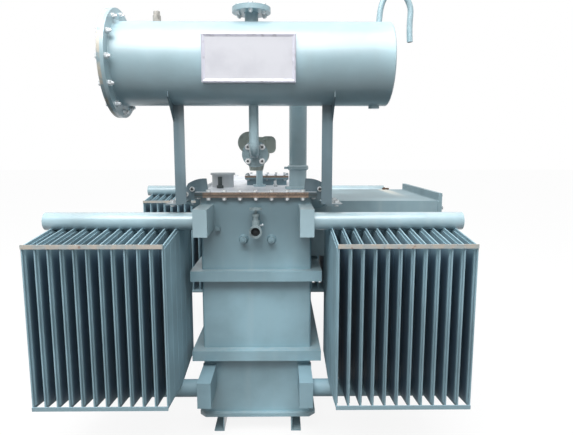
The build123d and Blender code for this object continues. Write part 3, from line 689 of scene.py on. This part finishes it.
class TRANSFORMER_OT_lid_bolts(bpy.types.Operator):
    """Add the bolts that clamp the lid, the hatch and the cable box cover"""

    bl_idname = "transformer.lid_bolts"
    bl_label = "Add Lid and Cover Bolts"

    def execute(self, context):
        head = context.scene.transformer_sizes.lid_bolt_head * 1000
        top = LID_HIGH[2]
        grip = (LID_HIGH[2] - FLANGE_LOW[2]) * 1000
        edge_y = LID_HIGH[1] - 0.010
        edge_x = LID_HIGH[0] - 0.010
        points = []
        for y in (-edge_y, edge_y):
            points += [((x, y, top), UP) for x in spread(-0.2, 0.2, 7)]
        for x in (-edge_x, edge_x):
            points += [((x, y, top), UP) for y in spread(-0.6, 0.6, 18)]
        sizes = {"Head Radius": head, "Head Height": 8, "Washer Radius": 12, "Grip": grip, "Tail": 12}
        bolt_set("lid_bolts", points, sizes, "zinc")
        low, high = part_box("hatch_cover")
        rim_x, rim_y = high[0] - 0.006, high[1] - 0.006
        points = []
        for y in (low[1] + 0.006, rim_y):
            points += [((x, y, high[2]), UP) for x in spread(low[0] + 0.02, high[0] - 0.02, 5)]
        for x in (low[0] + 0.006, rim_x):
            points += [((x, y, high[2]), UP) for y in spread(low[1] + 0.05, high[1] - 0.05, 4)]
        sizes = {"Head Radius": 6.5, "Head Height": 5, "Washer Radius": 6, "Washer Height": 1.5, "Grip": 18,
                 "Shank Radius": 3.5, "Tail": 8}
        bolt_set("hatch_bolts", points, sizes, "dull zinc")
        low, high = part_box("cable_box_cover")
        face = high[0]
        points = []
        for z in (low[2] + 0.014, high[2] - 0.014):
            points += [((face, y, z), RIGHT) for y in spread(low[1] + 0.03, high[1] - 0.03, 9)]
        for y in (low[1] + 0.014, high[1] - 0.014):
            points += [((face, y, z), RIGHT) for z in spread(low[2] + 0.07, high[2] - 0.07, 3)]
        # Only the heads show: the shank ends inside them
        sizes = {"Head Radius": 8, "Head Height": 6, "Washer Radius": 9, "Grip": 0, "Shank Radius": 4.5,
                 "Tail": -5}
        bolt_set("cable_cover_bolts", points, sizes, "dull zinc")
        return {"FINISHED"}


class TRANSFORMER_OT_conservator_bolts(bpy.types.Operator):
    """Add the long bolts on the conservator's bolted end and the filler cover"""

    bl_idname = "transformer.conservator_bolts"
    bl_label = "Add Conservator Bolts"

    def execute(self, context):
        low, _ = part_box("conservator_cover")
        tail = context.scene.transformer_sizes.drum_bolt_tail * 1000
        points = []
        for number in range(12):
            angle = math.radians(30 * number)
            across, above = DRUM_BOLT_CIRCLE * math.cos(angle), DRUM_BOLT_CIRCLE * math.sin(angle)
            place = (low[0], DRUM_Y + across, DRUM_Z + above)
            points.append((place, (-1.0, 0.0, 0.0)))
        sizes = {"Head Radius": 10.5, "Head Height": 9, "Washer Radius": 11.5, "Washer Height": 2, "Grip": 24,
                 "Shank Radius": 6.0, "Tail": tail}
        bolt_set("conservator_bolts", points, sizes, "zinc")
        low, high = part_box("filler_cover")
        middle = ((low[0] + high[0]) / 2, (low[1] + high[1]) / 2)
        points = []
        for number in range(6):
            angle = math.radians(60 * number + 30)
            across, ahead = FILLER_BOLT_CIRCLE * math.cos(angle), FILLER_BOLT_CIRCLE * math.sin(angle)
            place = (middle[0] + across, middle[1] + ahead, high[2])
            points.append((place, UP))
        sizes = {"Head Radius": 8.5, "Head Height": 7, "Washer Radius": 9.5, "Washer Height": 2, "Grip": 18,
                 "Shank Radius": 5, "Tail": 12}
        bolt_set("filler_bolts", points, sizes, "zinc")
        return {"FINISHED"}


class TRANSFORMER_OT_pipe_bolts(bpy.types.Operator):
    """Add the bolts on the gas relay, the vent and the supports"""

    bl_idname = "transformer.pipe_bolts"
    bl_label = "Add Pipe and Support Bolts"

    def execute(self, context):
        low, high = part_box("gas_relay")
        pipe_low, pipe_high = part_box("relay_pipe")
        relay_x = (pipe_low[0] + pipe_high[0]) / 2
        relay_z = pipe_low[2] + (pipe_high[0] - pipe_low[0]) / 2
        points = []
        for face, direction in ((low[1] - 0.012, -1.0), (high[1] + 0.012, 1.0)):
            for number in range(4):
                angle = math.radians(90 * number + 45)
                across, above = RELAY_BOLT_CIRCLE * math.cos(angle), RELAY_BOLT_CIRCLE * math.sin(angle)
                place = (relay_x + across, face, relay_z + above)
                points.append((place, (0.0, direction, 0.0)))
        sizes = {"Head Radius": 11, "Head Height": 8, "Washer Radius": 12.5, "Washer Height": 2, "Grip": 24,
                 "Shank Radius": 5, "Tail": 6}
        bolt_set("relay_bolts", points, sizes, "zinc")
        low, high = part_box("vent_cap")
        middle = ((low[0] + high[0]) / 2, (low[1] + high[1]) / 2)
        points = []
        for number in range(6):
            angle = math.radians(60 * number)
            across, ahead = VENT_BOLT_CIRCLE * math.cos(angle), VENT_BOLT_CIRCLE * math.sin(angle)
            place = (middle[0] + across, middle[1] + ahead, high[2])
            points.append((place, UP))
        sizes = {"Head Radius": 8, "Head Height": 6.5, "Washer Radius": 8.5, "Washer Height": 1.5, "Grip": 22,
                 "Shank Radius": 5, "Tail": 6}
        bolt_set("vent_cap_bolts", points, sizes, "dull zinc")
        shelf_top = LID_HIGH[2] - 0.035
        points = []
        for sign in (-1, 1):
            points += [((sign * 0.334, y, shelf_top), UP) for y in (-0.735, -0.655)]
            points += [((sign * x, -0.625, z), (0.0, -1.0, 0.0)) for x, z in ((0.274, 1.098), (0.300, 1.076))]
        sizes = {"Head Radius": 9.5, "Head Height": 8, "Washer Radius": 11, "Grip": 6, "Tail": 4}
        bolt_set("shelf_bolts", points, sizes, "zinc")
        return {"FINISHED"}


class TRANSFORMER_OT_plate_border(bpy.types.Operator):
    """Add the raised border of the blank nameplate"""

    bl_idname = "transformer.plate_border"
    bl_label = "Add the Plate Border"

    def execute(self, context):
        low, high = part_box("nameplate")
        bm = bmesh.new()
        loops = []
        for inset, proud in ((0.0, 0.0), (0.005, 0.003), (0.013, 0.0)):
            corners = ((low[0], low[2]), (high[0], low[2]), (high[0], high[2]), (low[0], high[2]))
            signs = ((1, 1), (-1, 1), (-1, -1), (1, -1))
            loops.append([
                bm.verts.new((x + sx * inset, low[1] - 0.0002 - proud, z + sz * inset))
                for (x, z), (sx, sz) in zip(corners, signs)])
        for first, second in zip(loops, loops[1:] + loops[:1]):
            for number in range(4):
                after = (number + 1) % 4
                bm.faces.new((first[number], first[after], second[after], second[number]))
        mesh_piece("nameplate_border", bm, "border")
        return {"FINISHED"}


class TRANSFORMER_OT_small_fittings(bpy.types.Operator):
    """Add plugs, bosses, the roof's lug and dark discs that paint the shade in the valve's bore and the
    breather's mouth
    """

    bl_idname = "transformer.small_fittings"
    bl_label = "Add Small Fittings"

    def execute(self, context):
        front = (0.0, -1.0, 0.0)
        wall_y = -WALL_Y
        bm = bmesh.new()
        rod(bm, (-0.1635, wall_y, 0.929), front, 0.011, 0.018)
        rod(bm, (-0.1635, wall_y - 0.018, 0.929), front, 0.008, 0.006, 6)
        mesh_piece("earth_boss", bm, "tank")
        bm = bmesh.new()
        for x in (-0.054, 0.066):
            rod(bm, (x, wall_y, 0.883), front, 0.021, 0.006, 24, 0.016)
            rod(bm, (x, wall_y - 0.025, 0.883), front, 0.0145, 0.009, 6)
            rod(bm, (x, wall_y - 0.034, 0.883), front, 0.0065, 0.006, 4)
        mesh_piece("boss_plugs", bm, "tank")
        low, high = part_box("filter_valve")
        middle = ((low[0] + high[0]) / 2, low[1], low[2] + (high[0] - low[0]) / 2)
        bm = bmesh.new()
        # Dark discs inside the valve paint the shade in its bore.
        rod(bm, (middle[0], middle[1] + 0.016, middle[2]), (0.0, 1.0, 0.0), 0.0188, 0.007, 32)
        rod(bm, (middle[0], middle[1] + 0.012, middle[2]), (0.0, 1.0, 0.0), 0.008, 0.005, 6)
        mesh_piece("valve_bore_shade_disc", bm, "dark")
        bm = bmesh.new()
        lean = (1.0, 0.0, 0.35)
        rod(bm, (middle[0] + 0.016, middle[1] + 0.036, middle[2] + 0.021), lean, 0.0045, 0.012, 12)
        rod(bm, (middle[0] + 0.027, middle[1] + 0.036, middle[2] + 0.025), lean, 0.006, 0.005, 6)
        mesh_piece("valve_bleed_plug", bm, "dull zinc")
        bm = bmesh.new()
        rod(bm, (0.078, -0.33, LID_HIGH[2]), UP, 0.013, 0.010, 6)
        rod(bm, (0.078, -0.33, LID_HIGH[2] + 0.010), UP, 0.007, 0.018)
        mesh_piece("lid_air_plug", bm, "zinc")
        _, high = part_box("cable_box")
        bm = bmesh.new()
        block(bm, (0.716, high[1] - 0.014, high[2]), (0.756, high[1] - 0.006, high[2] + 0.009))
        rod(bm, (0.724, high[1] - 0.022, high[2]), UP, 0.006, 0.014, 6)
        rod(bm, (0.748, high[1] - 0.022, high[2]), UP, 0.006, 0.007, 6)
        mesh_piece("roof_lug", bm, "rust")
        low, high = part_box("breather_pipe")
        bm = bmesh.new()
        # A dark disc in the breather's mouth paints the shade inside it.
        rod(bm, (high[0] - 0.0115, DRUM_Y, low[2] + 0.006), UP, 0.0084, 0.003, 24)
        mesh_piece("breather_mouth_shade_disc", bm, "dark")
        return {"FINISHED"}


class TRANSFORMER_OT_weld_beads(bpy.types.Operator):
    """Add the weld beads round the ducts, pipes and box"""

    bl_idname = "transformer.weld_beads"
    bl_label = "Add Weld Beads"

    def execute(self, context):
        squares, rounds = [], []
        for name in NODES:
            if "_header_" not in name:
                continue
            low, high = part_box(name)
            side = -1.0 if "left" in name else 1.0
            end = 1.0 if "rear" in name else -1.0
            wall_y = end * WALL_Y
            face_x = high[0] if side < 0.0 else low[0]
            inner = face_x + side * DUCT_WIDTH
            # The duct's seam stops at the tank's corner, where its outer side is flush with the side wall
            squares.append([Vector((x, wall_y, z)) for x, z in (
                (face_x, low[2]), (inner, low[2]), (inner, high[2]), (face_x, high[2]))])
            middle_z = (low[2] + high[2]) / 2
            rounds.append(ring_of((side * WALL_X, end * HEADER_Y, middle_z), RIGHT, HEADER_RADIUS))
        welds("duct_welds", squares, "tank", 3.5)
        welds("header_pipe_welds", rounds, "radiator", 3.5)
        low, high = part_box("cable_box")
        seam = [Vector((WALL_X, y, z)) for y, z in (
            (low[1], low[2]), (high[1], low[2]), (high[1], high[2]), (low[1], high[2]))]
        frame_low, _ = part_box("cable_box_end_frame")
        far = [Vector((frame_low[0], point[1], point[2])) for point in seam]
        welds("cable_box_welds", [seam, far], "cable box", 3.0)
        radius = (DRUM_HIGH[1] - DRUM_LOW[1]) / 2
        flange_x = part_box("conservator_flange")[1][0]
        rings = [ring_of((flange_x, DRUM_Y, DRUM_Z), RIGHT, radius, 72)]
        welds("conservator_welds", rings, "conservator", 3.0)
        rings = []
        for name, level, radius in (("vent_cap", LID_HIGH[2] + 0.010, 0.040),
                                    ("filler_cover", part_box("filler_cover")[0][2] - 0.008, 0.0255)):
            low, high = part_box(name)
            rings.append(ring_of(((low[0] + high[0]) / 2, (low[1] + high[1]) / 2, level), UP, radius))
        welds("pipe_welds", rings, "pipe", 2.5)
        return {"FINISHED"}


class TRANSFORMER_OT_stage(bpy.types.Operator):
    """Add the floor, the lamps, the world and the camera"""

    bl_idname = "transformer.stage"
    bl_label = "Set the Stage"

    def execute(self, context):
        sizes = context.scene.transformer_sizes
        bm = bmesh.new()
        bmesh.ops.create_grid(bm, x_segments=1, y_segments=1, size=30.0)
        mesh = bpy.data.meshes.new("floor")
        bm.to_mesh(mesh)
        bm.free()
        floor = bpy.data.objects.new("floor", mesh)
        context.scene.collection.objects.link(floor)
        shader = Shader("pale floor")
        colour = (*sizes.floor_colour, 1.0)
        ray = shader.node("ShaderNodeLightPath", {}, [])
        bounce = shader.mix(ray[2], tuple(0.92 * c for c in colour[:3]) + (1.0,), rgb(58, 60, 62))
        matte = shader.node("ShaderNodeBsdfDiffuse", {}, {"Color": bounce})[0]
        glow = shader.node("ShaderNodeEmission", {}, {"Color": colour, "Strength": 1.0})[0]
        seen = (ray[0] + ray[3]).clamp() * 0.88
        both = shader.node("ShaderNodeMixShader", {}, [seen, matte, glow])[0]
        shader.node("ShaderNodeOutputMaterial", {}, {"Surface": both})
        mesh.materials.append(shader.material)

        world = bpy.data.worlds.new("studio")
        world.use_nodes = True
        context.scene.world = world
        tree = world.node_tree
        tree.nodes.clear()
        output = tree.nodes.new("ShaderNodeOutputWorld")
        lit = tree.nodes.new("ShaderNodeBackground")
        lit.inputs["Color"].default_value = (1.0, 1.0, 1.0, 1.0)
        way = tree.nodes.new("ShaderNodeTexCoord")
        split = tree.nodes.new("ShaderNodeSeparateXYZ")
        sky = tree.nodes.new("ShaderNodeMapRange")
        sky.inputs["From Min"].default_value = -0.1
        sky.inputs["To Min"].default_value = 0.45
        sky.inputs["To Max"].default_value = 1.1
        tree.links.new(way.outputs["Generated"], split.inputs[0])
        tree.links.new(split.outputs[2], sky.inputs["Value"])
        tree.links.new(sky.outputs[0], lit.inputs["Strength"])
        shown = tree.nodes.new("ShaderNodeBackground")
        shown.inputs["Color"].default_value = (1.0, 1.0, 1.0, 1.0)
        shown.inputs["Strength"].default_value = 1.0
        path = tree.nodes.new("ShaderNodeLightPath")
        blend = tree.nodes.new("ShaderNodeMixShader")
        tree.links.new(path.outputs["Is Camera Ray"], blend.inputs[0])
        tree.links.new(lit.outputs[0], blend.inputs[1])
        tree.links.new(shown.outputs[0], blend.inputs[2])
        tree.links.new(blend.outputs[0], output.inputs[0])

        lamps = (
            ("overhead soft box", (-0.2, -2.3, 4.0), (0.0, -0.9, 1.0), 3.6, sizes.key_light * 1.15),
            ("front fill", (-0.8, -4.7, 5.2), (0.0, -0.6, 0.6), 3.0, sizes.key_light * 0.8),
        )
        for name, place, target, size, power in lamps:
            data = bpy.data.lights.new(name, "AREA")
            data.shape = "RECTANGLE"
            data.size = size
            data.size_y = size * 0.75
            data.energy = power
            lamp = bpy.data.objects.new(name, data)
            lamp.location = place
            aim = Vector(target) - Vector(place)
            lamp.rotation_euler = aim.to_track_quat("-Z", "Y").to_euler()
            context.scene.collection.objects.link(lamp)

        data = bpy.data.cameras.new("photo camera")
        data.sensor_fit = "HORIZONTAL"
        data.sensor_width = 36.0
        data.lens = 30.46
        camera = bpy.data.objects.new("photo camera", data)
        camera.location = (0.10936, -2.70717, 1.26088)
        camera.rotation_euler = (math.radians(90 - 7.84), 0.0, math.radians(-0.59))
        context.scene.collection.objects.link(camera)
        context.scene.camera = camera
        context.scene.view_settings.view_transform = "Standard"
        return {"FINISHED"}


class TRANSFORMER_PT_panel(bpy.types.Panel):
    """Lists the steps that dress the transformer"""

    bl_label = "Transformer"
    bl_idname = "TRANSFORMER_PT_panel"
    bl_space_type = "VIEW_3D"
    bl_region_type = "UI"
    bl_category = "Transformer"

    def draw(self, context):
        for prop in TransformerSizes.__annotations__:
            self.layout.prop(context.scene.transformer_sizes, prop)
        for step in STEPS:
            self.layout.operator(step.bl_idname)


STEPS = (
    TRANSFORMER_OT_finishes,
    TRANSFORMER_OT_lid_bolts,
    TRANSFORMER_OT_conservator_bolts,
    TRANSFORMER_OT_pipe_bolts,
    TRANSFORMER_OT_plate_border,
    TRANSFORMER_OT_small_fittings,
    TRANSFORMER_OT_weld_beads,
    TRANSFORMER_OT_stage,
)
CLASSES = (TransformerSizes, *STEPS, TRANSFORMER_PT_panel)


def register():
    for cls in CLASSES:
        bpy.utils.register_class(cls)
    bpy.types.Scene.transformer_sizes = bpy.props.PointerProperty(type=TransformerSizes)


def unregister():
    del bpy.types.Scene.transformer_sizes
    for cls in reversed(CLASSES):
        bpy.utils.unregister_class(cls)


def main():
    """Registers the add-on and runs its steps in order."""
    register()
    for step in STEPS:
        group, name = step.bl_idname.split(".")
        getattr(getattr(bpy.ops, group), name)()


if __name__ == "__main__":
    main()
